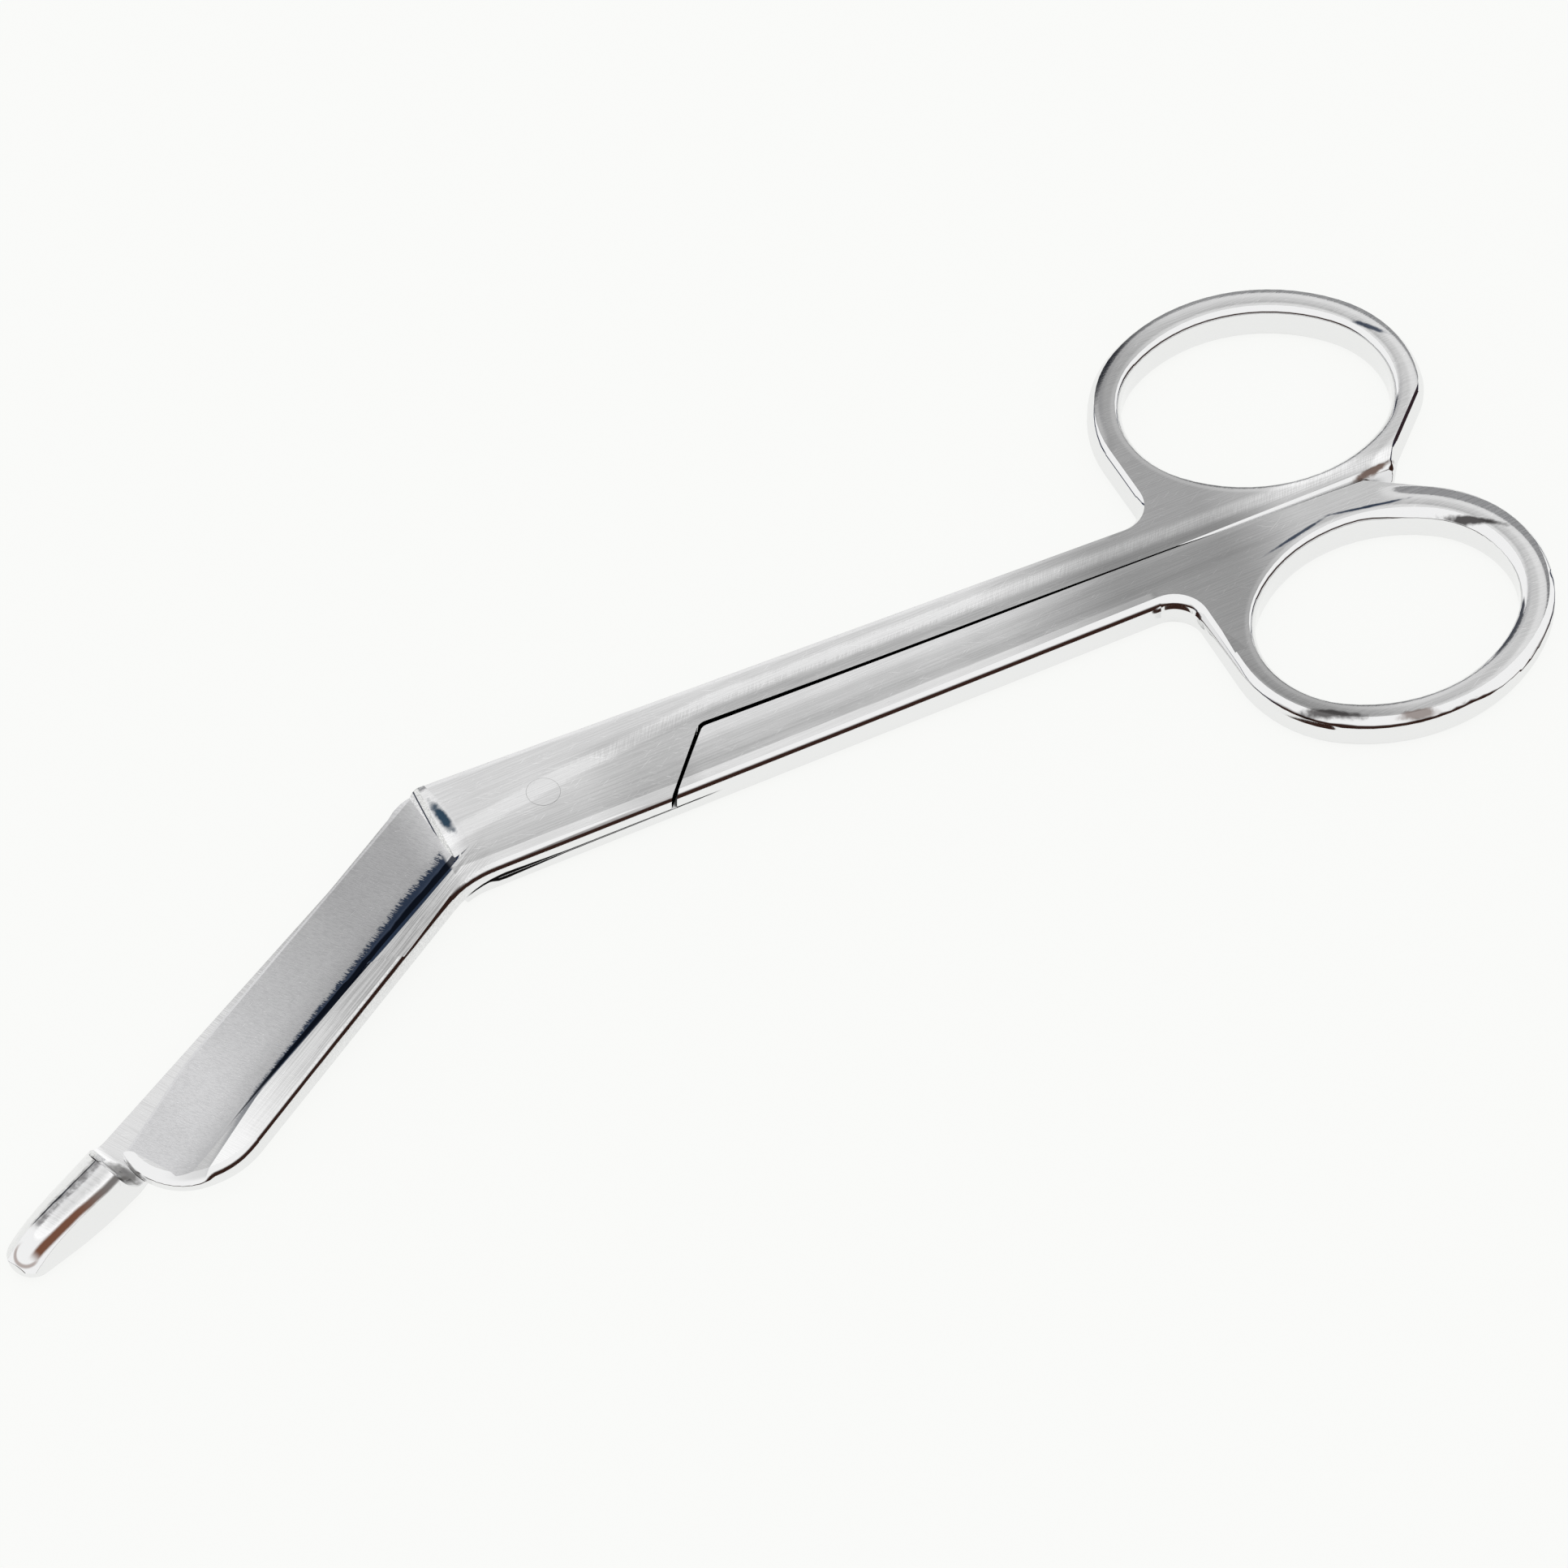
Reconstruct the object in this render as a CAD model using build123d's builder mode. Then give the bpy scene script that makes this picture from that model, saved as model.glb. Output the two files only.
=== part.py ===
from build123d import *
from math import atan2, cos, degrees, radians, sin, tan
import os

# Bandage scissors, closed, lying on one side.  Millimetres.
# The "blunt half" carries the blunt upper blade and the ring on +Y; the "probe
# half" carries the probe-tipped lower blade and the ring on -Y.  Everything is
# drawn about the pivot axis, with +X along the handles to the finger rings and
# +Z up from the table; frame_shift then puts the middle of the closed scissors
# at the origin.
frame_shift = (-14.77, -0.05)

# Stock and ground surfaces
thickness = 3.6            # ground faces, side to side
rim_radius = 1.8           # rounding of the forging's outer rims
rim_allowance = 0.51       # metal on each face while these are rounded
hole_rim_radius = 1.2      # rounding inside the finger rings
hole_allowance = 0.2       # metal left on each face while those are rounded
lap_clearance = 0.05       # between the two halves at the joint
slit_gap_joint = 0.36      # between the handles, beside the joint
slit_gap_rings = 0.14      # between the handles, where the rings meet

# Crowned faces: x, y of the ridge, radius across the face
crown_depth = 0.02         # what the crown takes off its own ridge
fade_height = 0.14         # the crown has left the metal by this much where it runs out
joint_crown = 110.0
handle_crown = 26.0
fade_crown = 300.0
blunt_ridge = ((-7.0, -0.8, joint_crown), (2.0, 0.9, joint_crown), (16.0, 2.9, 40.0), (34.0, 3.2, handle_crown))
probe_ridge = ((8.0, -1.6, 40.0), (20.0, -1.6, handle_crown), (34.0, -1.3, handle_crown))
blunt_ridge_under = ((8.0, 3.0, 40.0), (20.0, 3.1, handle_crown), (34.0, 3.2, handle_crown))
probe_ridge_under = ((-7.0, -0.3, joint_crown), (2.0, -0.5, joint_crown), (16.0, -1.6, 40.0),
                     (34.0, -1.3, handle_crown))
ring_fade_x = 58.0         # the handle crown has run out here
blade_fade_x = -20.0       # and the joint crown here

# Handles and rings
ring_x = 70.45             # pivot to ring centre, along X
closing_axis_y = 1.2       # the rings lie evenly about this line
ring_offset = 12.25        # from that line to each ring centre
hole_half_length = 11.45
hole_half_width = 9.15
hole_end_radius = 7.9      # the holes are ovals of four arcs
ring_wall = 2.8
ring_tilt = 7.5
probe_ring_shift = (0.3, 0.4)  # outer edge of the probe half's ring, from its hole's centre
crotch_radius = 2.4
crotch_lean_blunt = 3.6    # the walls beside the crotches lean by this angle
crotch_lean_probe = -2.9
far_wall_joint = 5.12      # handle and joint edges, at the pivot
far_wall_ring = 5.56       # and at the crotch of the ring
near_wall_joint = -5.03
near_wall_ring = -2.95
crotch_x = 56.2
flank_start_x = 50.5       # the blunt half's ring is forged rounded on the slit side
flank_full_x = 56.5
flank_y = 1.15
flank_bend_radius = 8.0
foot = (77.6, 1.95)        # end of that rounded side, clear of the other ring
foot_flare = (78.9, 3.9)
flare_top_y = 8.97
flare_start_angle = -8.0   # the flare leaves the ring here, from the ring's long axis

# Slit and shoulders of the joint
slit_x = 14.22             # corner where the slit meets the end of a joint plate
slit_y_joint = 0.85        # probe half's side of the slit, at that corner
slit_y_rings = 1.575       # and where the rings meet
rings_meet_x = 57.0
slit_bend_radius = 60.0
shoulder_angle = 49.6
shoulder_corner_radius = 0.85
waste = 2.3                # spare metal beyond the slit that grinding takes off
waste_x = 12.5

# Blades
bend_x = -8.5
bend_radius = 9.0
back_corner_x = -10.2
back_corner_radius = 3.0
spine_slope = 0.671
blunt_end = (-43.5, -23.6)     # corner of the blunt blade's end before rounding
blunt_end_radius = 5.2
blunt_heel_radius = 8.0        # between its spine and its end
edge_start = (-10.0, 4.85)     # blunt blade's edge
edge_knee = (-36.0, -11.9)
edge_knee_radius = 20.0
edge_end = (-43.2, -17.9)
edge_thickness = 0.15
probe_edge_start = (-8.8, -5.35)
probe_edge_knee = (-42.6, -20.85)
probe_edge_knee_radius = 4.0
probe_edge_end = (-46.0, -22.4)
probe_spine_knee = (-19.0, -0.78)
probe_spine_knee_radius = 40.0
probe_neck = (-45.0, -16.48)
probe_hump = (-46.6, -16.75)
probe_neck_radius = 3.0
probe_side = (-42.6, -20.8)
probe_flank = (-47.8, -23.45)
probe_flank_radius = 40.0
probe_tip_far = (-55.96, -22.54)
probe_tip_near = (-54.51, -25.76)
probe_tip_radius = 1.94
nub_root = (-44.16, -18.72)    # the probe is rounded across, from here
nub_tip = (-53.4, -23.35)      # through the middle of its tip
# distance from nub_root, height of the ridge, radius across
nub_stations = ((0.0, 3.55, 3.15), (5.5, 3.2, 2.85), (10.0, 2.6, 2.4), (12.6, 1.0, 2.25))
blunt_end_sweep = 47.95        # the blunt blade's end passes inside this radius
cove_radius = 1.75
cove_from = 190.0              # the cove is swept from this bearing, about the pivot
cove_sector = 30.0

# Hollow grind of the blades' outer faces
hollow_x = -9.7            # foot of the run-out at the joint
hollow_runout = 0.7        # length of the run-out
hollow_roll = 2.2          # the joint face rolls down to it over this length
hollow_roll_drop = 0.3
hollow_run_up = 3.8        # the wheel leaves the probe half's blade over this length
blunt_hollow_end = -60.0   # it runs off the end of the blunt blade
probe_hollow_end = -44.2   # and stops short of the probe
face_slope_root = 8.0
face_slope_tip = 12.5
cove_slope_root = 38.0
cove_slope_tip = 16.0
hollow_radius_root = 4.0
hollow_radius_tip = 8.0
land_root = 7.7            # blunt blade, edge to spine land
land_tip = 7.0
probe_land_root = 6.6
probe_land_tip = 4.4

# Pivot screw
screw_head_radius = 2.9
screw_head_depth = 1.15
screw_head_inset = 0.08
screw_bearing_radius = 1.6
screw_thread_radius = 1.38
bearing_clearance = 0.04
thread_clearance = 0.015
slot_width = 0.8
slot_depth = 0.6

mid = thickness / 2
lap_low = mid - lap_clearance / 2
lap_high = mid + lap_clearance / 2
reach = 120.0              # longer than any cut has to be
waste_level_blunt = slit_y_joint - waste
waste_level_probe = slit_y_joint + slit_gap_joint + waste
lap_corner_x = slit_x + slit_gap_joint * tan(radians(shoulder_angle / 2))

# Oval of the finger rings: end arcs, and side arcs tangent to them
hole_side_radius = ((hole_half_length ** 2 + hole_half_width ** 2 - 2 * hole_half_length * hole_end_radius)
                    / (2 * (hole_half_width - hole_end_radius)))
end_centre = hole_half_length - hole_end_radius
side_centre = hole_side_radius - hole_half_width
blend_angle = degrees(atan2(side_centre, end_centre))


def far_wall(x):
    return far_wall_joint + (far_wall_ring - far_wall_joint) * x / crotch_x


def near_wall(x):
    return near_wall_joint + (near_wall_ring - near_wall_joint) * x / crotch_x


def spine_line(x):
    return near_wall(bend_x) + spine_slope * (x - bend_x)


def ring_plane(side, shift=(0, 0)):
    """A ring's own plane: X along its hole, Y away from the slit; side is 1 on +Y."""
    lean = radians(ring_tilt)
    return Plane(origin=(ring_x + shift[0], closing_axis_y + side * ring_offset + shift[1], 0),
                 x_dir=(cos(lean), -side * sin(lean), 0), z_dir=(0, 0, side))


def ring_edge(side, slit_angle, crotch_angle, shift=(0, 0)):
    """Outer edge of a finger ring, from the slit side round to the crotch."""
    with BuildLine(ring_plane(side, shift)) as edge:
        end_radius = hole_end_radius + ring_wall
        side_radius = hole_side_radius + ring_wall
        CenterArc((end_centre, 0), end_radius, slit_angle, blend_angle - slit_angle)
        CenterArc((0, -side_centre), side_radius, blend_angle, 180 - 2 * blend_angle)
        CenterArc((-end_centre, 0), end_radius, 180 - blend_angle, crotch_angle - 180 + blend_angle)
    return edge.wires()[0]


def ring_hole(side):
    """Oval of a finger hole, as four tangent arcs."""
    with BuildSketch(ring_plane(side)) as hole:
        with BuildLine():
            for half_turn in (0, 180):
                way = 1 if half_turn == 0 else -1
                CenterArc((way * end_centre, 0), hole_end_radius, half_turn - blend_angle, 2 * blend_angle)
                CenterArc((0, -way * side_centre), hole_side_radius, half_turn + blend_angle, 180 - 2 * blend_angle)
        make_face()
    return hole.sketch


def level_on_tangent(point, tangent, y):
    """Point at height y on the straight line that leaves point along tangent."""
    return (point.X + tangent.X * (y - point.Y) / tangent.Y, y)


def blunt_blank():
    """Forged outline of the blunt half, with spare metal beyond the slit."""
    edge = ring_edge(1, flare_start_angle, 180 + ring_tilt + crotch_lean_blunt)
    with BuildSketch() as blank:
        with BuildLine():
            add(edge)
            FilletPolyline(
                edge @ 1,
                level_on_tangent(edge @ 1, edge % 1, far_wall(crotch_x)),
                (back_corner_x, far_wall(back_corner_x)),
                (blunt_end[0] - 0.4, edge_end[1] + 2.2),
                blunt_end,
                (bend_x + (blunt_end[1] - near_wall(bend_x)) / spine_slope, blunt_end[1]),
                (bend_x, near_wall(bend_x)),
                (waste_x, near_wall(waste_x)),
                (waste_x, waste_level_blunt),
                (flank_start_x, waste_level_blunt),
                (flank_full_x, flank_y),
                foot,
                foot_flare,
                level_on_tangent(edge @ 0, edge % 0, flare_top_y),
                edge @ 0,
                radius=(crotch_radius, back_corner_radius, 2.0, blunt_end_radius, blunt_heel_radius,
                        bend_radius, 0, 0, 0, flank_bend_radius, 0.6, 4.0, 4.0),
            )
        make_face()
    return blank.sketch


def probe_blank():
    """Forged outline of the probe half, with spare metal beyond the slit."""
    edge = ring_edge(-1, -blend_angle, 180 + ring_tilt + crotch_lean_probe, probe_ring_shift)
    with BuildSketch() as blank:
        with BuildLine():
            add(edge)
            FilletPolyline(
                edge @ 1,
                level_on_tangent(edge @ 1, edge % 1, near_wall(crotch_x)),
                (bend_x, near_wall(bend_x)),
                (bend_x - 6.5, spine_line(bend_x - 6.5)),
                probe_side,
                probe_flank,
                probe_tip_near,
                probe_tip_far,
                probe_hump,
                probe_neck,
                probe_spine_knee,
                (back_corner_x, far_wall(back_corner_x)),
                (waste_x, far_wall(waste_x)),
                (waste_x, waste_level_probe),
                level_on_tangent(edge @ 0, edge % 0, waste_level_probe),
                edge @ 0,
                radius=(crotch_radius, 5.0, 5.0, 12.0, probe_flank_radius, probe_tip_radius, probe_tip_radius,
                        probe_neck_radius, probe_neck_radius, probe_spine_knee_radius, back_corner_radius,
                        0, 0, 0),
            )
        make_face()
    return blank.sketch


def forged_rims(edges, waste_level):
    """Rims to round: all of them except those of the spare metal."""
    def kept(edge):
        middle = edge @ 0.5
        return abs(middle.Y - waste_level) > 0.01 and abs(middle.X - waste_x) > 0.01
    rims = edges.filter_by(Plane.XY).group_by(Axis.Z)
    return [edge for edge in rims[0] + rims[-1] if kept(edge)]


def ground_corner(side, corner_x, turn):
    """A half's ground slit wall and, from corner_x, the wall that leaves it at the joint.

    Gives the region to take away: everything across the slit, closed along the
    wall that runs at the shoulder angle towards -Y (turn -1) or +Y (turn 1).
    """
    own_plate_end = turn == -side
    corner = (corner_x, slit_y_joint + (slit_gap_joint if side > 0 else 0))
    level = slit_y_rings + (slit_gap_rings if side > 0 else 0)
    run = reach / tan(radians(shoulder_angle))
    points = [corner, (rings_meet_x, level), (reach, level), (reach, -side * reach)]
    if not own_plate_end:
        points += [(-reach, -side * reach), (-reach, turn * reach)]
    points.append((corner_x - run, corner[1] + turn * reach))
    corner_radius = shoulder_corner_radius + (slit_gap_joint if own_plate_end else 0)
    with BuildSketch() as region:
        with BuildLine():
            FilletPolyline(points, radius=[corner_radius, slit_bend_radius] + [0] * (len(points) - 2), close=True)
        make_face()
    return region.sketch


def edge_trim(start, knee, end, knee_radius, side):
    """Metal beyond a blade's cutting edge; side is 1 when it lies on the +Y side."""
    overrun = 6.0
    first = Vector(start) + (Vector(start) - Vector(knee)).normalized() * overrun
    last = Vector(end) + (Vector(end) - Vector(knee)).normalized() * overrun
    with BuildSketch() as region:
        with BuildLine():
            FilletPolyline((first.X, first.Y), knee, (last.X, last.Y), (last.X, side * reach),
                           (first.X, side * reach), radius=[knee_radius, 0, 0, 0, 0], close=True)
        make_face()
    return region.sketch


def hollow_section(start, along, distance, side, land, face_slope, slope, radius):
    """Metal that the wheel takes off one blade face, seen across the blade.

    start and along give the edge; side is 1 for the upper face, -1 for the
    lower one.  The face rises from the edge at face_slope and turns up in a
    cove, which meets the land at slope.
    """
    across = Vector(-along.Y, along.X, 0) * side
    origin = Vector(start[0], start[1], mid) + along * distance
    plane = Plane(origin=origin, x_dir=across, z_dir=across.cross(Vector(0, 0, side)))
    before_edge = 2.0
    rise = tan(radians(face_slope))
    foot = land - radius * (sin(radians(slope)) - sin(radians(face_slope)))
    foot_height = edge_thickness + foot * rise
    crest_height = foot_height + radius * (cos(radians(face_slope)) - cos(radians(slope)))
    above = crest_height + thickness
    with BuildSketch(plane) as section:
        with BuildLine():
            Polyline((foot, foot_height), (-before_edge, edge_thickness - before_edge * rise),
                     (-before_edge, above), (land + thickness / tan(radians(slope)), above),
                     (land, crest_height))
            TangentArc((foot, foot_height), (land, crest_height), tangent=(1, rise))
        make_face()
    return section.sketch


def hollow(start, end, side, land_start, land_end, far_x):
    """Hollow grind of one blade, with a short run-out at the joint and a long one at far_x."""
    along = (Vector(end) - Vector(start)).normalized()
    length = (Vector(end) - Vector(start)).length
    overrun = 10.0
    sections = [
        hollow_section(start, along, -overrun, side, land_start,
                       face_slope_root, cove_slope_root, hollow_radius_root),
        hollow_section(start, along, length + overrun, side, land_end,
                       face_slope_tip, cove_slope_tip, hollow_radius_tip),
    ]
    wheel_path = loft(sections, ruled=True, mode=Mode.PRIVATE)
    outside = mid + side * mid
    lip = (hollow_x + hollow_runout, outside - side * hollow_roll_drop)
    roll_end = (lip[0] + hollow_roll, outside)
    with BuildSketch(Plane.XZ.offset(reach / 2)) as runout:
        with BuildLine():
            TangentArc(roll_end, lip, tangent=(-1, 0))
            Polyline(lip, (hollow_x, mid), (hollow_x, mid - side), (far_x + hollow_run_up, mid - side),
                     (far_x + hollow_run_up, mid))
            TangentArc((far_x + hollow_run_up, mid), (far_x, outside), tangent=(-1, 0))
            Polyline((far_x, outside), (far_x, outside + side * reach),
                     (roll_end[0], outside + side * reach), roll_end)
        make_face()
    return wheel_path & extrude(runout.sketch, amount=-reach, mode=Mode.PRIVATE)


def crown_section(x, crest_y, radius, side, sink):
    """Metal above a slightly crowned face, seen along X; side 1 is the upper face."""
    half_width = 9.0
    drop = side * half_width ** 2 / (2 * radius)
    crest = (x, crest_y, mid + side * (mid - sink))
    with BuildSketch(Plane(origin=crest, x_dir=(0, 1, 0), z_dir=(1, 0, 0))) as section:
        with BuildLine():
            ThreePointArc((-half_width, -drop), (0, 0), (half_width, -drop))
            Polyline((half_width, -drop), (half_width, side * mid), (-half_width, side * mid), (-half_width, -drop))
        make_face()
    return section.sketch


def crown(ridge, side, joint_end):
    """Crown of one face along its ridge, fading out at the rings and, over the joint, at the blade."""
    sections = [crown_section(x, y, radius, side, crown_depth) for x, y, radius in ridge]
    sections.append(crown_section(ring_fade_x, ridge[-1][1], fade_crown, side, -fade_height))
    if joint_end:
        sections.insert(0, crown_section(blade_fade_x, ridge[0][1], fade_crown, side, -fade_height))
    return loft(sections, mode=Mode.PRIVATE)


def nub_rounding():
    """Metal above the probe, which is rounded across and falls away to its tip."""
    axis = (Vector(nub_tip) - Vector(nub_root)).normalized()
    across = Vector(-axis.Y, axis.X, 0)
    sections = []
    for distance, height, radius in nub_stations:
        ridge = Vector(*nub_root, height) + axis * distance
        half_width = 0.97 * radius
        drop = radius - (radius ** 2 - half_width ** 2) ** 0.5
        with BuildSketch(Plane(origin=ridge, x_dir=across, z_dir=axis)) as section:
            with BuildLine():
                ThreePointArc((-half_width, -drop), (0, 0), (half_width, -drop))
                Polyline((half_width, -drop), (half_width, thickness), (-half_width, thickness),
                         (-half_width, -drop))
            make_face()
        sections.append(section.sketch)
    return loft(sections, mode=Mode.PRIVATE)


def grind_faces(allowance):
    """Grinds both faces down to the finished thickness plus an allowance on each."""
    split(bisect_by=Plane.XY.offset(-allowance), keep=Keep.TOP)
    split(bisect_by=Plane.XY.offset(thickness + allowance), keep=Keep.BOTTOM)


def hand_over(part, label):
    """Writes a finished piece, moved into the frame of the closed scissors."""
    placed = Pos(*frame_shift) * part
    placed.label = label
    export_step(placed, f"parts/{label}.step")


os.makedirs("parts", exist_ok=True)

with BuildPart() as blunt_half:
    add(Pos(0, 0, -rim_allowance) * blunt_blank())
    extrude(amount=thickness + 2 * rim_allowance)
    fillet(forged_rims(blunt_half.edges(), waste_level_blunt), rim_radius)
    grind_faces(hole_allowance)
    # finger hole
    add(Pos(0, 0, -hole_allowance) * ring_hole(1))
    extrude(amount=thickness + 2 * hole_allowance, mode=Mode.SUBTRACT)
    fillet(blunt_half.edges(Select.LAST).filter_by(Plane.XY), hole_rim_radius)
    grind_faces(0)
    # joint plate in the upper layer, handle through both
    with BuildSketch(Plane.XY.offset(lap_high)):
        add(ground_corner(1, slit_x, -1))
    extrude(amount=thickness, mode=Mode.SUBTRACT)
    with BuildSketch(Plane.XY.offset(lap_high)):
        add(ground_corner(1, lap_corner_x, 1))
    extrude(amount=-thickness, mode=Mode.SUBTRACT)
    # cutting edge and ground faces
    add(edge_trim(edge_start, edge_knee, edge_end, edge_knee_radius, 1))
    extrude(amount=thickness, mode=Mode.SUBTRACT)
    add(hollow(edge_start, edge_knee, 1, land_root, land_tip, blunt_hollow_end), mode=Mode.SUBTRACT)
    add(crown(blunt_ridge, 1, True), mode=Mode.SUBTRACT)
    add(crown(blunt_ridge_under, -1, False), mode=Mode.SUBTRACT)
    # threaded hole for the pivot screw
    with BuildSketch():
        Circle(screw_thread_radius + thread_clearance)
    extrude(amount=thickness, mode=Mode.SUBTRACT)

hand_over(blunt_half.part, "blunt_half")

with BuildPart() as probe_half:
    add(Pos(0, 0, -rim_allowance) * probe_blank())
    extrude(amount=thickness + 2 * rim_allowance)
    fillet(forged_rims(probe_half.edges(), waste_level_probe), rim_radius)
    grind_faces(hole_allowance)
    # finger hole
    add(Pos(0, 0, -hole_allowance) * ring_hole(-1))
    extrude(amount=thickness + 2 * hole_allowance, mode=Mode.SUBTRACT)
    fillet(probe_half.edges(Select.LAST).filter_by(Plane.XY), hole_rim_radius)
    grind_faces(0)
    # joint plate and blade in the lower layer, handle through both, probe left whole
    with BuildSketch(Plane.XY.offset(lap_low)):
        add(ground_corner(-1, slit_x, 1))
    extrude(amount=-thickness, mode=Mode.SUBTRACT)
    with BuildSketch(Plane.XY.offset(lap_low)):
        add(ground_corner(-1, lap_corner_x, -1))
        with BuildSketch(mode=Mode.INTERSECT):
            Circle(blunt_end_sweep - cove_radius / 2)
            with Locations((reach / 2, 0)):
                Rectangle(reach, 2 * reach)
    extrude(amount=thickness, mode=Mode.SUBTRACT)
    # cove between the blade and the probe, swept about the pivot
    bearing = radians(cove_from)
    with BuildSketch(Plane(origin=(0, 0, lap_low), x_dir=(cos(bearing), sin(bearing), 0),
                           z_dir=(sin(bearing), -cos(bearing), 0))):
        with BuildLine():
            Polyline((blunt_end_sweep, 0), (blunt_end_sweep - cove_radius, 0),
                     (blunt_end_sweep - cove_radius, thickness), (blunt_end_sweep + cove_radius, thickness),
                     (blunt_end_sweep + cove_radius, cove_radius))
            RadiusArc((blunt_end_sweep + cove_radius, cove_radius), (blunt_end_sweep, 0), cove_radius)
        make_face()
    revolve(axis=Axis.Z, revolution_arc=cove_sector, mode=Mode.SUBTRACT)
    add(nub_rounding(), mode=Mode.SUBTRACT)
    # cutting edge and ground faces
    add(edge_trim(probe_edge_start, probe_edge_knee, probe_edge_end, probe_edge_knee_radius, -1))
    extrude(amount=lap_low, mode=Mode.SUBTRACT)
    add(hollow(probe_edge_start, probe_edge_end, -1, probe_land_root, probe_land_tip, probe_hollow_end),
        mode=Mode.SUBTRACT)
    add(crown(probe_ridge, 1, False), mode=Mode.SUBTRACT)
    add(crown(probe_ridge_under, -1, True), mode=Mode.SUBTRACT)
    # bearing hole and countersink for the pivot screw
    with BuildSketch(Plane.XZ):
        with BuildLine():
            bore = screw_bearing_radius + bearing_clearance
            sink = screw_head_radius + bearing_clearance
            Polyline((0, -mid), (sink, -mid), (sink, screw_head_inset), (bore, screw_head_depth), (bore, mid),
                     (0, mid), close=True)
        make_face()
    revolve(axis=Axis.Z, mode=Mode.SUBTRACT)

hand_over(probe_half.part, "probe_half")

with BuildPart() as pivot_screw:
    # countersunk head in the underside, bearing shank, threaded end flush with the joint face
    seat_gap = 0.01
    with BuildSketch(Plane.XZ):
        with BuildLine():
            Polyline((0, screw_head_inset), (screw_head_radius, screw_head_inset),
                     (screw_bearing_radius, screw_head_depth), (screw_bearing_radius, lap_high - seat_gap),
                     (screw_thread_radius, lap_high - seat_gap), (screw_thread_radius, thickness - crown_depth),
                     (0, thickness - crown_depth), close=True)
        make_face()
    revolve(axis=Axis.Z)
    with BuildSketch(Plane.XY.offset(screw_head_inset)):
        Rectangle(4 * screw_head_radius, slot_width)
    extrude(amount=slot_depth, mode=Mode.SUBTRACT)

hand_over(pivot_screw.part, "pivot_screw")
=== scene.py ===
from math import atan, cos, radians, sin

import bpy
from mathutils import Euler, Matrix, Vector

# Bandage scissors on a white table, metres.
# The frame is the solids': the origin is under the middle of the closed
# scissors, +X towards the rings, +Z up.  The three CAD pieces are the whole
# object; this file gives them their steel, and adds table, studio and camera.
mm = 0.001
micron = 1e-6

# Camera: the photograph's angle
camera_target = (0.00785, 0.00320, -0.01152)
camera_distance = 0.75288
camera_elevation = 52.54
camera_azimuth = -23.83      # turn about Z; 0 looks along +Y
camera_roll = -0.55
camera_lens = 209.3
camera_sensor = 36.0
camera_reach = 20.0

# Table
floor_size = 4.0
floor_drop = 0.00005         # the table lies this much below the scissors
floor_colour = (0.960, 0.965, 0.950)
floor_glow = 0.93            # share of the floor's pale tone that does not need light

# Studio: elevations and azimuths in degrees, azimuth from +X towards +Y
studio_strength = 1.0
shade_centre = (66.0, 63.0)  # the studio is greyer towards here: the faces mirror its edge
shade_stops = (
    # angle from that centre, brightness
    (0.0, 0.575),
    (8.0, 0.625),
    (14.0, 0.775),
    (20.0, 1.0),
)
horizon_near = (0.036, 0.016, 0.012)   # a dark line runs along the horizon: on the camera's side
horizon_far = (0.010, 0.020, 0.055)    # and behind the scissors
horizon_sides = 0.3          # the two meet over this share of the way
horizon_near_top = 16.0
horizon_far_top = 3.5
horizon_fade = 0.6           # the line fades from this share of its height
cards = (
    # azimuth, elevation, radius, soft edge, colour
    (92.0, 38.0, 9.0, 9.0, (0.62, 0.62, 0.63)),
    (96.0, 10.0, 10.0, 5.0, (0.075, 0.080, 0.095)),
)

# Steel: lengths in millimetres, places from the pivot, slopes as rise over
# run.  Pairs are the two ends of a soft change.  "Facing" is the normal's Z.
pivot = (-14.77, -0.05)
flat_facing = (0.945, 0.965)     # the ground faces
wall_facing = (0.70, 0.90)       # the polished sides
blade_way = 33.9                 # direction of the blades in degrees
blade_start = (-9.9, -9.5)
far_wall_line = (5.12, 0.0078)   # y at the pivot, rise along x
near_wall_line = (-5.03, 0.0370)
bend_x = -8.5
spine_rise = 0.671
spine_turn = atan(spine_rise)
lap_height = 1.8                 # the halves part at this height

# Fine lines of the grinding, and scratches of use
grains = {
    # direction in degrees, length and width of a line, noise at its sides, seed
    "along": (3.0, 5.0, 0.12, 0.35, 0.65, 0.0),
    "across": (90.0 + blade_way, 3.0, 0.10, 0.35, 0.65, 5.0),
    "scratch": (32.0, 1.8, 0.07, 0.68, 0.74, 11.0),
    "cross scratch": (-24.0, 2.2, 0.06, 0.69, 0.75, 23.0),
    "hatch": (60.0, 1.6, 0.08, 0.40, 0.62, 31.0),
    "land": (blade_way, 7.0, 0.10, 0.40, 0.60, 7.0),
}
grain_detail = 2.0
noises = {
    # scale, detail
    "clouds": (0.16, 3.0),
    "rag": (1.6, 5.0),
    "waves": (0.35, 1.0),
}
scratch_depth = 3.0              # microns
wave_depth = 8.0

# Gloss
satin_roughness = 0.22
polish_roughness = 0.05
brush_roughness = 0.05
scratch_gloss = 0.08

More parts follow.
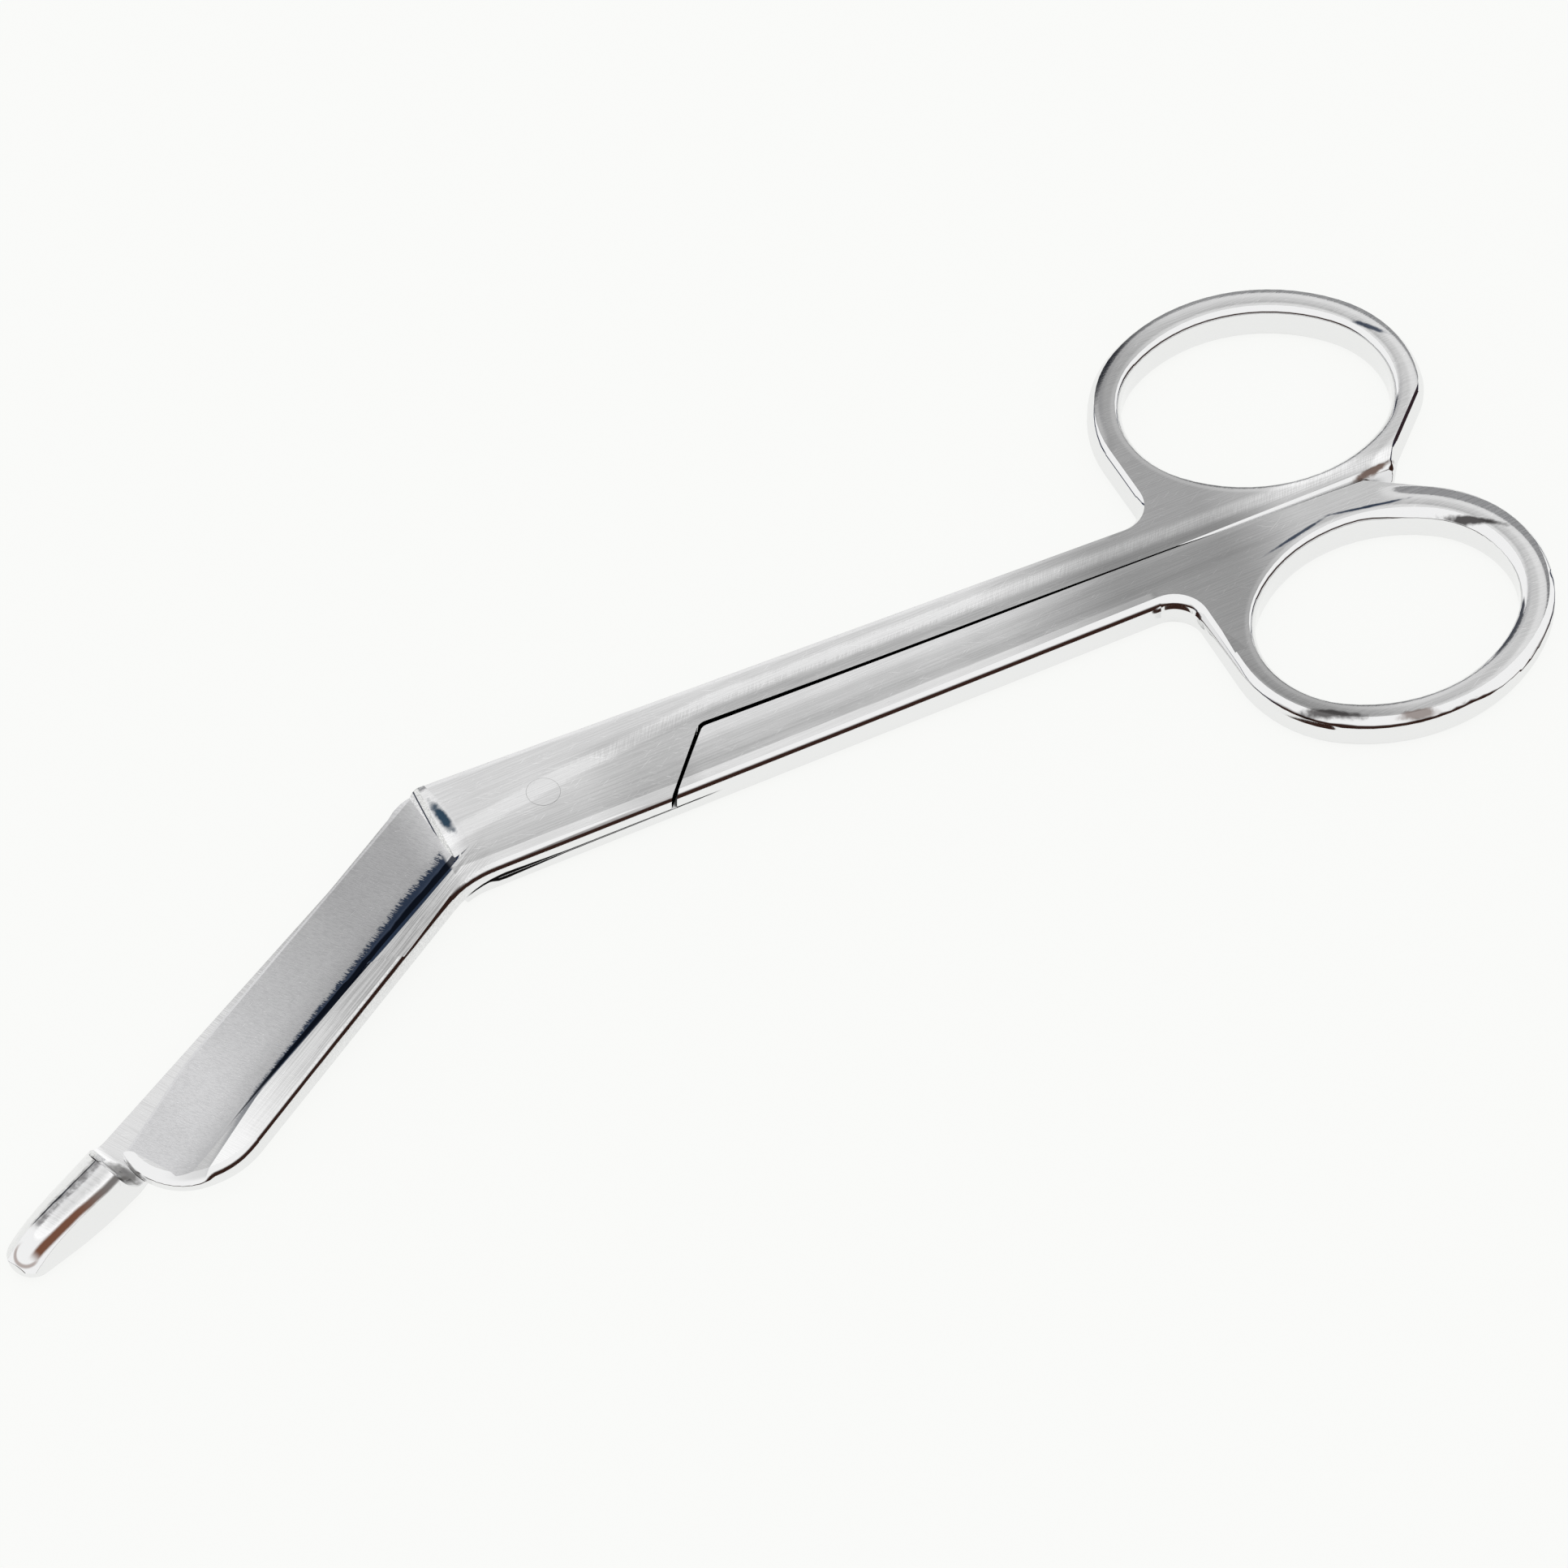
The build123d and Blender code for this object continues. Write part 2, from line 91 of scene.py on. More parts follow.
# Tones
polish_tone = (0.865, 0.866, 0.868)
# partly the satin faces' own grey, partly painted reflection: the blade's face lightens towards its blunt end as
# its reflection does
satin_tones = (
    # distance along the scissors, tone of the satin faces
    (-43.0, 0.99),
    (-35.0, 0.96),
    (-30.5, 0.83),
    (-24.5, 0.69),
    (-18.0, 0.57),
    (-12.0, 0.57),
    (-9.9, 0.74),
    (-9.4, 0.89),
    (12.0, 0.87),
    (16.0, 0.86),
    (40.0, 0.84),
    (51.0, 0.47),
    (61.0, 0.46),
    (68.0, 0.68),
    (84.0, 0.74),
)
cloud_tone = (0.90, 0.16)        # least tone and what noise adds
line_tone = 0.95                 # tone between lines, and what lines add
brush_tone = 0.07
scratch_tone = 0.20
# painted reflection: the crowned handles' outer facet mirrors lighter and the inner facet darker, painted as
# bands across them
far_facet_reflection_tones = (
    # distance from the far edge, tone
    (0.5, 1.0),
    (2.1, 0.98),
    (3.0, 0.74),
    (3.4, 0.72),
    (4.3, 0.86),
)
near_facet_reflection_tones = (
    # distance from the near edge, tone
    (1.2, 0.88),
    (1.9, 0.76),
    (2.6, 0.86),
    (3.6, 0.84),
    (4.3, 1.0),
)
handle_part = (8.0, 62.0)        # those painted reflection bands run along the handles
handle_soft = 6.0
joint_part = (-7.0, 11.0)        # painted shade: the joint's face is darker towards its near edge
joint_soft = 2.0
joint_near = (0.8, 5.0)
joint_near_tone = 0.85
blade_edge = (                   # the blunt blade's edge: points and outward ways
    (-10.0, 4.85, -0.5416, 0.8406),
    (-36.0, -11.9, -0.6400, 0.7680),
)
blade_edge_line = (0.13, 0.23)   # a painted highlight runs along it
blade_edge_highlight_tone = 1.45
probe_blade_tone = 1.10          # the probe's blade is lighter where it shows beyond that edge
probe_blade_brush = 0.10

# Painted highlight along the bright ridge of the blunt half's crown, crossed by brushed lines
ridge_stops = (
    # distance along, its place across
    (-9.5, -1.3),
    (-7.0, -0.8),
    (2.0, 0.9),
    (16.0, 2.9),
    (34.0, 3.2),
    (60.0, 3.3),
)
ridge_low = -2.0                 # those places lie from here, over this span
ridge_span = 6.0
ridge_half_width = 0.25
ridge_soft = 0.7
ridge_start = (-9.5, -9.0)
ridge_highlight_strength = 0.34
hatch_light = (0.75, 0.5)        # least share of the painted highlight, and what cross lines add

# Cove of the blunt blade, with a painted reflection as a dark toothed band, and the land beyond it
cove_start = 7.62                # the band lies this far from the edge
cove_end = (7.67, 7.74)
cove_rise = 0.0215               # the cove nears the edge along the blade
cove_stops = (
    # distance along, width of the dark band
    (-41.0, 0.0),
    (-33.0, 0.30),
    (-24.0, 0.75),
    (-10.0, 1.35),
)
cove_thin = 0.5                  # a band narrower than this is weaker
cove_overlap = 1.35
cove_facing = (0.3, 0.5)
cove_band_soft = (-0.15, 0.25)
cove_band_strength = 0.96
tooth_brush = 0.5
tooth_cloud = 0.8
cove_shade = 0.20                # painted shade: the face is darker beside the band
cove_shade_reach = 3.2
cove_shade_soft = 3.0
land_slope = 0.42
land_facing = (0.6, 0.8)
land_soft = 0.2
land_line_shade = 0.34           # ground lines along the land and across the side, near the joint
land_line_side = (-0.5, 0.5)
land_line_stops = (
    # distance along, share
    (-36.0, 0.0),
    (-24.0, 0.8),
    (-14.0, 1.0),
    (-9.0, 0.9),
    (-6.0, 0.0),
)

# Probe: distances along its axis and across it, + on the near side
nub_root = (-44.16, -18.72)
nub_way = (-0.894, -0.448)
nub_taper = 0.03
nub_start = (0.3, 0.8)
nub_ragged = 0.8
nub_band = (1.20, 1.42)          # a painted reflection, a dark band, runs along the near side
nub_band_soft = (0.28, 0.22)
nub_band_spread = 0.018          # it widens towards the tip
nub_band_ragged = 0.7
nub_band_start = (0.2, 1.2)
nub_band_end = (10.4, 11.4)
nub_band_hue_change = (2.0, 6.5)
nub_band_root = (0.16, 0.15, 0.145)
nub_band_tip = (0.15, 0.052, 0.022)
nub_band_strength = 0.97
nub_tip = (-53.9, -23.7)         # painted reflection: the round end has a brown edge
nub_tip_edge = (0.98, 1.06)
nub_tip_soft = 0.15
nub_tip_ragged = 0.5
nub_tip_strength = 0.6
nub_streak = (-1.25, -0.60)      # painted reflection: a broken grey streak runs along the far side
nub_streak_soft = 0.25
nub_streak_part = (1.5, 8.5)
nub_streak_fade = 1.0
nub_streak_rag = (0.20, 0.66)
nub_streak_strength = 0.75
nub_streak_tone = (0.16, 0.15, 0.15)
nub_side_near = (1.45, 1.55)     # beyond these the sides turn down and mirror the table
nub_side_far = (-1.22, -1.12)
nub_side_tip = (12.0, 12.4)
nub_side_slope = 2.2

# Dark spots: painted reflections on the rings' rims and at the bend, and painted shade in the wedge between the
# rings and in the notch at the probe's root
navy = (0.012, 0.030, 0.070)
teal = (0.010, 0.045, 0.085)
brown = (0.10, 0.045, 0.025)
dark_grey = (0.05, 0.045, 0.045)
warm_dark_grey = (0.12, 0.115, 0.11)
painted_dark_spots = {
    # x, y, half length, half width, turn in degrees, colour, strength
    "blunt": (
        (-8.35, 0.95, 2.2, 0.52, 97.0, teal, 0.97),
        (82.3, 16.3, 1.9, 0.32, -50.0, navy, 0.9),
        (75.6, 2.3, 2.4, 0.30, 8.0, brown, 0.9),
        (72.6, 1.40, 3.4, 0.22, 3.0, dark_grey, 0.95),
    ),
    "probe": (
        (-44.3, -19.7, 1.9, 0.75, -60.0, warm_dark_grey, 0.80),
        (80.9, -5.9, 3.3, 0.36, -36.0, dark_grey, 0.95),
        (66.9, -1.35, 3.6, 0.17, 14.0, navy, 0.90),
        (73.4, -1.05, 4.0, 0.17, -9.0, navy, 0.95),
        (61.3, -19.2, 3.2, 0.42, -31.0, dark_grey, 0.9),
        (67.7, -22.0, 1.9, 0.40, -12.0, brown, 0.7),
    ),
    "screw": (),
}
spot_ragged = 0.8
spot_soft = (0.45, 1.10)
spot_facing = (0.1, 0.3)

# Painted shade: a dark parting line between the halves, and dark narrow gaps
shade_and_line_black = (0.006, 0.005, 0.005)
crevice_reach = 1.5
crevice_open = (0.12, 0.42)
crevice_samples = 6
parting_stops = (
    # distance along, half thickness
    (-8.5, 0.24),
    (-5.5, 0.42),
    (0.0, 0.13),
    (13.0, 0.06),
)
parting_start = (-9.5, -8.5)
parting_end = (12.0, 14.0)
parting_soft = (-0.02, 0.03)
parting_ragged = 0.05

# Rounding: the material bends the normal where the rims are rounder than the mesh
near_shoulder = (1.14, 1.22)     # the near edges' rounding ends this far in
near_shoulder_slope = 0.75
near_shoulder_end = (52.0, 54.0)
far_shoulder = (0.65, 0.90)
far_shoulder_slope = 0.30
far_shoulder_part = (-9.0, 52.0)
far_shoulder_fade = 1.0
wall_slope = 0.45                # upward lean of the drop-forged sides
wall_slope_in = (0.0, 1.8)       # it comes in over these heights
wall_slope_out = (1.8, 3.8, 1.0, 0.1)   # and goes out to a tenth over these
turn_start = (0.05, 0.2)         # facings over which a side turns over to the face
turn_end = (0.85, 0.95)
blunt_end = (-41.0, -38.0)       # round the blunt tip it turns over sharply
blunt_end_rise = 0.8
ring_end = (72.0, 77.0)          # and at the near ring's end
ring_end_rise = 0.45
ring_centres = {"blunt": (70.45, 13.45, 1.0), "probe": (70.45, -11.05, -1.0)}
ring_half_length = 11.45
ring_half_width = 9.15
ring_tilt = 7.5
ring_crest = 1.2                 # top of the ring's section, from the hole
ring_inner_flat = 0.54           # the polished rims start here and here
ring_outer_flat = 2.26
ring_inner_slope = 0.65
ring_outer_slope = 0.95
ring_reach = (2.6, 2.9)
ring_free_way = 65.0             # the outer rim is free but where the handle joins the ring
ring_free = (-0.60, -0.35)
ring_wall = (0.6, 1.2)           # the walls of the hole don't lean


def feed(tree, value, target):
    """Give a socket a plain value, or link it to a Field or another socket."""
    if isinstance(value, Field):
        value = value.socket
    if isinstance(value, bpy.types.NodeSocket):
        tree.links.new(value, target)
    else:
        target.default_value = value


def new_node(tree, kind, inputs=None, **settings):
    """A shader node with its settings; inputs gives values by the socket's name or number."""
    node = tree.nodes.new(kind)
    for name, value in settings.items():
        setattr(node, name, value)
    for key, value in (inputs or {}).items():
        feed(tree, value, node.inputs[key])
    return node


def blend(tree, share, first, second):
    """Colour mix; first and second are colours or sockets."""
    first, second = (value if isinstance(value, bpy.types.NodeSocket) else (*value, 1.0)
                     for value in (first, second))
    mix = new_node(tree, "ShaderNodeMix", {0: share, 6: first, 7: second}, data_type="RGBA")
    return mix.outputs[2]


class Field:
    """A number that varies from place to place, so that nodes can be written as a formula."""

    def __init__(self, tree, socket):
        self.tree = tree
        self.socket = socket

    def maths(self, operation, *values):
        node = new_node(self.tree, "ShaderNodeMath", dict(enumerate(values)), operation=operation)
        return Field(self.tree, node.outputs[0])

    def __add__(self, other):
        return self.maths("ADD", self, other)

    def __sub__(self, other):
        return self.maths("SUBTRACT", self, other)

    def __rsub__(self, other):
        return self.maths("SUBTRACT", other, self)

    def __mul__(self, other):
        return self.maths("MULTIPLY", self, other)

    def __truediv__(self, other):
        return self.maths("DIVIDE", self, other)

    def power(self, exponent):
        return self.maths("POWER", self, exponent)

    def absolute(self):
        return self.maths("ABSOLUTE", self)

    def angle(self):
        return self.maths("ARCCOSINE", self)

    def least(self, other):
        return self.maths("MINIMUM", self, other)

    def most(self, other):
        return self.maths("MAXIMUM", self, other)

    def step(self, low, high, start=0.0, end=1.0):
        """Smooth step from start to end as the value goes from low to high."""
        node = new_node(self.tree, "ShaderNodeMapRange",
                        {"Value": self, "From Min": low, "From Max": high, "To Min": start, "To Max": end},
                        interpolation_type="SMOOTHSTEP")
        return Field(self.tree, node.outputs[0])

    def drop(self, low, high):
        return self.step(low, high, 1.0, 0.0)

    def window(self, low, high, soft):
        return self.step(low - soft, low) * self.drop(high, high + soft)

    def stops(self, stops):
        """Straight lines between stops, each a value and the result there, 0 to 1."""
        low, high = stops[0][0], stops[-1][0]
        spread = new_node(self.tree, "ShaderNodeMapRange", {"Value": self, "From Min": low, "From Max": high})
        ramp = new_node(self.tree, "ShaderNodeValToRGB", {"Fac": spread.outputs[0]})
        elements = ramp.color_ramp.elements
        while len(elements) < len(stops):
            elements.new(0.5)
        for element, (value, result) in zip(elements, stops):
            element.position = (value - low) / (high - low)
            element.color = (result, result, result, 1.0)
        return Field(self.tree, ramp.outputs["Color"])


def closeness(tree, direction, azimuth, elevation):
    """Cosine of the angle between a direction and one given in degrees."""
    level = cos(radians(elevation))
    toward = (level * cos(radians(azimuth)), level * sin(radians(azimuth)), sin(radians(elevation)))
    product = new_node(tree, "ShaderNodeVectorMath", {0: direction, 1: toward}, operation="DOT_PRODUCT")
    return Field(tree, product.outputs["Value"])


def build_world():
    """Soft white studio: bright round the sides, greyer overhead, a dark line at the horizon."""
    world = bpy.data.worlds.new("studio")
    bpy.context.scene.world = world
    world.use_nodes = True
    tree = world.node_tree
    tree.nodes.clear()
    direction = new_node(tree, "ShaderNodeTexCoord").outputs["Generated"]
    split = new_node(tree, "ShaderNodeSeparateXYZ", {0: direction})
    height = Field(tree, split.outputs["Z"])
    side = Field(tree, split.outputs["Y"]).step(-horizon_sides, horizon_sides)

    from_centre = closeness(tree, direction, *shade_centre).angle()
    tone = from_centre.stops([(radians(angle), level) for angle, level in shade_stops]).socket
    for azimuth, elevation, radius, soft, colour in cards:
        near = closeness(tree, direction, azimuth, elevation)
        share = near.step(cos(radians(radius + soft)), cos(radians(radius)))
        tone = blend(tree, share, tone, colour)
    line = blend(tree, side, horizon_near, horizon_far)
    near_top = sin(radians(horizon_near_top))
    top = side * (sin(radians(horizon_far_top)) - near_top) + near_top
    tone = blend(tree, height.step(top * horizon_fade, top), line, tone)
    background = new_node(tree, "ShaderNodeBackground", {"Color": tone, "Strength": studio_strength})
    new_node(tree, "ShaderNodeOutputWorld", {"Surface": background.outputs[0]})


def build_floor():
    """Pale table: its tone is steady for the eye and for reflections, and it keeps the shadow."""
    bpy.ops.mesh.primitive_plane_add(size=floor_size, location=(0, 0, -floor_drop))
    floor = bpy.context.object
    floor.name = "floor"
    material = bpy.data.materials.new("floor")
    material.use_nodes = True
    tree = material.node_tree
    tree.nodes.clear()
    path = new_node(tree, "ShaderNodeLightPath")
    seen = Field(tree, path.outputs["Is Camera Ray"]).most(Field(tree, path.outputs["Is Glossy Ray"]))
    glow = new_node(tree, "ShaderNodeEmission", {"Color": (*floor_colour, 1.0)})
    matt = new_node(tree, "ShaderNodeBsdfDiffuse", {"Color": (*floor_colour, 1.0)})
    mix = new_node(tree, "ShaderNodeMixShader", {0: seen * floor_glow, 1: matt.outputs[0], 2: glow.outputs[0]})
    new_node(tree, "ShaderNodeOutputMaterial", {"Surface": mix.outputs[0]})
    floor.data.materials.append(material)


def build_camera():
    camera_data = bpy.data.cameras.new("camera")
    camera_data.lens = camera_lens
    camera_data.sensor_width = camera_sensor
    camera_data.sensor_fit = "HORIZONTAL"
    camera_data.clip_end = camera_reach
    camera = bpy.data.objects.new("camera", camera_data)
    bpy.context.collection.objects.link(camera)
    turn = Euler((radians(90 - camera_elevation), 0, radians(camera_azimuth))).to_matrix().to_4x4()
    roll = Matrix.Rotation(radians(camera_roll), 4, "Z")
    back = Matrix.Translation((0, 0, camera_distance))
    camera.matrix_world = Matrix.Translation(Vector(camera_target)) @ turn @ roll @ back
    bpy.context.scene.camera = camera


class Surface:
    """Places on one piece, what faces where, and its fine lines and noise."""

    def __init__(self, tree, half):
        self.tree = tree
        metres = new_node(tree, "ShaderNodeTexCoord").outputs["Object"]
        self.place = new_node(tree, "ShaderNodeVectorMath", {0: metres, "Scale": 1 / mm},
                              operation="SCALE").outputs[0]
        where = new_node(tree, "ShaderNodeSeparateXYZ", {0: self.place})
        self.x = x = Field(tree, where.outputs["X"]) - pivot[0]
        self.y = y = Field(tree, where.outputs["Y"]) - pivot[1]
        self.z = Field(tree, where.outputs["Z"])
        self.normal = new_node(tree, "ShaderNodeNewGeometry").outputs["Normal"]
        facing = new_node(tree, "ShaderNodeSeparateXYZ", {0: self.normal})
        self.up = Field(tree, facing.outputs["Z"])
        self.flat = self.up.absolute().step(*flat_facing)
        self.wall = self.up.absolute().drop(*wall_facing)
        self.blade = x.drop(*blade_start)

        # distances from the far and the near side, which bends with the spine
        self.far = far_wall_line[0] - y + x * far_wall_line[1]
        joint_near_side = y - near_wall_line[0] - x * near_wall_line[1]
        bend_y = near_wall_line[0] + near_wall_line[1] * bend_x
        spine_side = (y - bend_y - (x - bend_x) * spine_rise) * cos(spine_turn)
        self.near = joint_near_side.most(spine_side)
        if half == "blunt":
            edges = [(edge_x - x) * way_x + (edge_y - y) * way_y
                     for edge_x, edge_y, way_x, way_y in blade_edge]
            self.from_edge = edges[0].least(edges[1])
            self.foot = self.from_edge - (x - blade_edge[0][0]) * cove_rise
        if half == "probe":
            self.along_nub = (x - nub_root[0]) * nub_way[0] + (y - nub_root[1]) * nub_way[1]
            self.across_nub = (x - nub_root[0]) * -nub_way[1] + (y - nub_root[1]) * nub_way[0]

        lengthwise = self.grain("along")
        self.crosswise = self.grain("across")
        self.brush = lengthwise + (self.crosswise - lengthwise) * self.blade
        self.scratches = self.grain("scratch").most(self.grain("cross scratch"))
        self.clouds = self.noise("clouds")
        self.rag = self.noise("rag")

    def grain(self, kind):
        """Fine lines along one direction: 1 in a line, 0 between lines."""
        direction, length, width, low, high, seed = grains[kind]
        turned = new_node(self.tree, "ShaderNodeMapping",
                          {"Vector": self.place, "Location": (seed, seed, 0.0),
                           "Rotation": (0.0, 0.0, radians(direction)), "Scale": (length, width, width)},
                          vector_type="TEXTURE")
        noise = new_node(self.tree, "ShaderNodeTexNoise",
                         {"Vector": turned.outputs[0], "Scale": 1.0, "Detail": grain_detail})
        return Field(self.tree, noise.outputs["Fac"]).step(low, high)

    def noise(self, kind):
        scale, detail = noises[kind]
        node = new_node(self.tree, "ShaderNodeTexNoise", {"Vector": self.place, "Scale": scale, "Detail": detail})
        return Field(self.tree, node.outputs["Fac"])


def satin_level(surface, half):
    """Tone of the ground faces, a grey, with painted reflection bands on the handles, painted shade on the joint,
    and painted highlights along the blunt blade's edge and the ridge.
    """
    x, near, blade = surface.x, surface.near, surface.blade
    # painted reflection of the handles' facets
    if half == "blunt":
        painted_facets = surface.far.stops(far_facet_reflection_tones) - 1.0
    else:
        painted_facets = near.stops(near_facet_reflection_tones) - 1.0
    level = x.stops(satin_tones) * (painted_facets * x.window(*handle_part, handle_soft) + 1.0)
    level = level * (surface.clouds * cloud_tone[1] + cloud_tone[0])
    level = level * (surface.brush * brush_tone + surface.scratches * scratch_tone + line_tone)
    joint_shade = (near.step(*joint_near, joint_near_tone, 1.0) - 1.0) * x.window(*joint_part, joint_soft)
    level = level * (joint_shade + 1.0)
    if half == "probe":
        brushed = (surface.crosswise - 0.5) * probe_blade_brush
        return level * (blade * (brushed + (probe_blade_tone - 1.0)) + 1.0)
    if half == "blunt":
        # painted highlight: a bright line along the blunt blade's edge
        edge_highlight = surface.from_edge.step(*blade_edge_line, blade_edge_highlight_tone - 1.0, 0.0)
        level = level * (edge_highlight * blade + 1.0)
    # painted highlight along the crown's ridge
    ridge_line = x.stops([(along, (across - ridge_low) / ridge_span) for along, across in ridge_stops])
    from_ridge = surface.y - (ridge_line * ridge_span + ridge_low)
    ridge_highlight = from_ridge.window(-ridge_half_width, ridge_half_width, ridge_soft) * x.step(*ridge_start)
    ridge_highlight = ridge_highlight * (surface.grain("hatch") * hatch_light[1] + hatch_light[0])
    return level * (ridge_highlight * ridge_highlight_strength + 1.0)


def cove_tone(surface, tone):
    """Painted reflection as a dark band in the blunt blade's cove, painted shade beside it, and the ground lines
    beyond it.
    """
    tree, x, up, foot = surface.tree, surface.x, surface.up, surface.foot
    width = x.stops(cove_stops)
    inside = foot.drop(*cove_end) * surface.blade * up.step(*cove_facing)
    # painted shade beside the cove's band
    shade = (foot - cove_start + cove_shade_reach).step(0.0, cove_shade_soft) * inside * cove_shade
    tone = blend(tree, shade, tone, shade_and_line_black)
    # painted reflection: the navy toothed band along the cove
    teeth = (surface.crosswise - 0.5) * tooth_brush + (surface.clouds - 0.5) * tooth_cloud
    dark = (foot - cove_start + width * cove_overlap + teeth * width).step(*cove_band_soft)
    dark = dark * inside * width.step(0.0, cove_thin)
    tone = blend(tree, dark * cove_band_strength, tone, navy)
    on_land = surface.grain("land") * foot.step(cove_start, cove_start + land_soft) * up.step(*land_facing)
    on_side = surface.crosswise * up.drop(*land_facing) * surface.near.step(*land_line_side)
    lines = (on_land + on_side) * x.stops(land_line_stops) * land_line_shade
    # the ground lines darken towards the same near black as the painted shade
    return blend(tree, lines, tone, shade_and_line_black)


def probe_tone(surface, tone):
    """Painted reflections on the probe: a dark band on the near side, a brown edge round its tip and a grey
    streak.
    """
    tree, along, across = surface.tree, surface.along_nub, surface.across_nub
    ragged = (surface.clouds - 0.5) * nub_ragged
    line = across + along * nub_taper + ragged * nub_band_ragged
    dark = (line + along * nub_band_spread).step(nub_band[0] - nub_band_soft[0], nub_band[0])
    dark = dark * line.drop(nub_band[1], nub_band[1] + nub_band_soft[1])
    dark = dark * along.step(*nub_band_start) * along.drop(*nub_band_end)
    from_tip = ((surface.x - nub_tip[0]).power(2.0) + (surface.y - nub_tip[1]).power(2.0)).power(0.5)
    tip_edge = (from_tip + ragged * nub_tip_ragged).window(*nub_tip_edge, nub_tip_soft)
    dark = dark.most(tip_edge * along.step(*nub_band_end) * nub_tip_strength)
    shade = blend(tree, along.step(*nub_band_hue_change), nub_band_root, nub_band_tip)
    tone = blend(tree, dark * nub_band_strength, tone, shade)
    streak = (across + ragged).window(*nub_streak, nub_streak_soft)
    streak = streak * along.window(*nub_streak_part, nub_streak_fade) * surface.rag.step(*nub_streak_rag)
    return blend(tree, streak * nub_streak_strength, tone, nub_streak_tone)


# Painted reflections and painted shade, as soft dark patches on the upward faces
def painted_spot_tone(surface, tone, half):
    for spot_x, spot_y, length, width, turn, colour, strength in painted_dark_spots[half]:
        from_x = surface.x - spot_x
        from_y = surface.y - spot_y
        turn_cos = cos(radians(turn))
        turn_sin = sin(radians(turn))
        along = (from_x * turn_cos + from_y * turn_sin) / length
        across = (from_y * turn_cos - from_x * turn_sin) / width
        reach = (along * along + across * across).power(0.5) + (surface.rag - 0.5) * spot_ragged
        spot = reach.step(*spot_soft, strength, 0.0) * surface.up.step(*spot_facing)
        tone = blend(surface.tree, spot, tone, colour)
    return tone


def crevice_shade(surface, tone):
    """Painted shade: the parting line between the halves, and narrow gaps darkened by ambient occlusion."""
    tree, x = surface.tree, surface.x
    parting = (surface.z - lap_height).absolute() - x.stops(parting_stops)
    parting = (parting - (surface.rag - 0.5) * parting_ragged).drop(*parting_soft)
    parting = parting * surface.wall * x.step(*parting_start) * x.drop(*parting_end)
    tone = blend(tree, parting, tone, shade_and_line_black)
    air = new_node(tree, "ShaderNodeAmbientOcclusion", {"Distance": crevice_reach * mm}, samples=crevice_samples)
    return blend(tree, Field(tree, air.outputs["AO"]).step(*crevice_open), shade_and_line_black, tone)


def ring_rounding(x, y, half):
    """Slopes along x and y across the ring's top, and the distance outward from the hole."""
    centre_x, centre_y, side = ring_centres[half]
    lean_cos = cos(radians(ring_tilt))
    lean_sin = sin(radians(ring_tilt))
    from_x = x - centre_x
    from_y = y - centre_y
    along = from_x * lean_cos - from_y * (side * lean_sin)
    across = from_x * lean_sin + from_y * (side * lean_cos)
    radius = (along * along + across * across).power(0.5)
    size = ((along / ring_half_length).power(2.0) + (across / ring_half_width).power(2.0)).power(0.5)
    outward = radius - radius / size
    way_along = along / ring_half_length ** 2
    way_across = across / ring_half_width ** 2
    length = (way_along * way_along + way_across * way_across).power(0.5)

    free_cos = cos(radians(ring_free_way))
    free_sin = sin(radians(ring_free_way))
    free = (along / radius * free_cos + across / radius * free_sin).step(*ring_free)
    outer = ((outward - ring_crest) / (ring_outer_flat - ring_crest)).most(0.0).least(1.0)
    inner = ((ring_crest - outward) / (ring_crest - ring_inner_flat)).most(0.0).least(1.0)
    slope = outer * outer * free * outward.drop(*ring_reach) * ring_outer_slope
    slope = slope - inner * inner * ring_inner_slope
    slope_along = slope * (way_along / length)
    slope_across = slope * (way_across / length)
    slope_x = slope_along * lean_cos + slope_across * lean_sin
    slope_y = slope_across * (side * lean_cos) - slope_along * (side * lean_sin)
    return slope_x, slope_y, outward


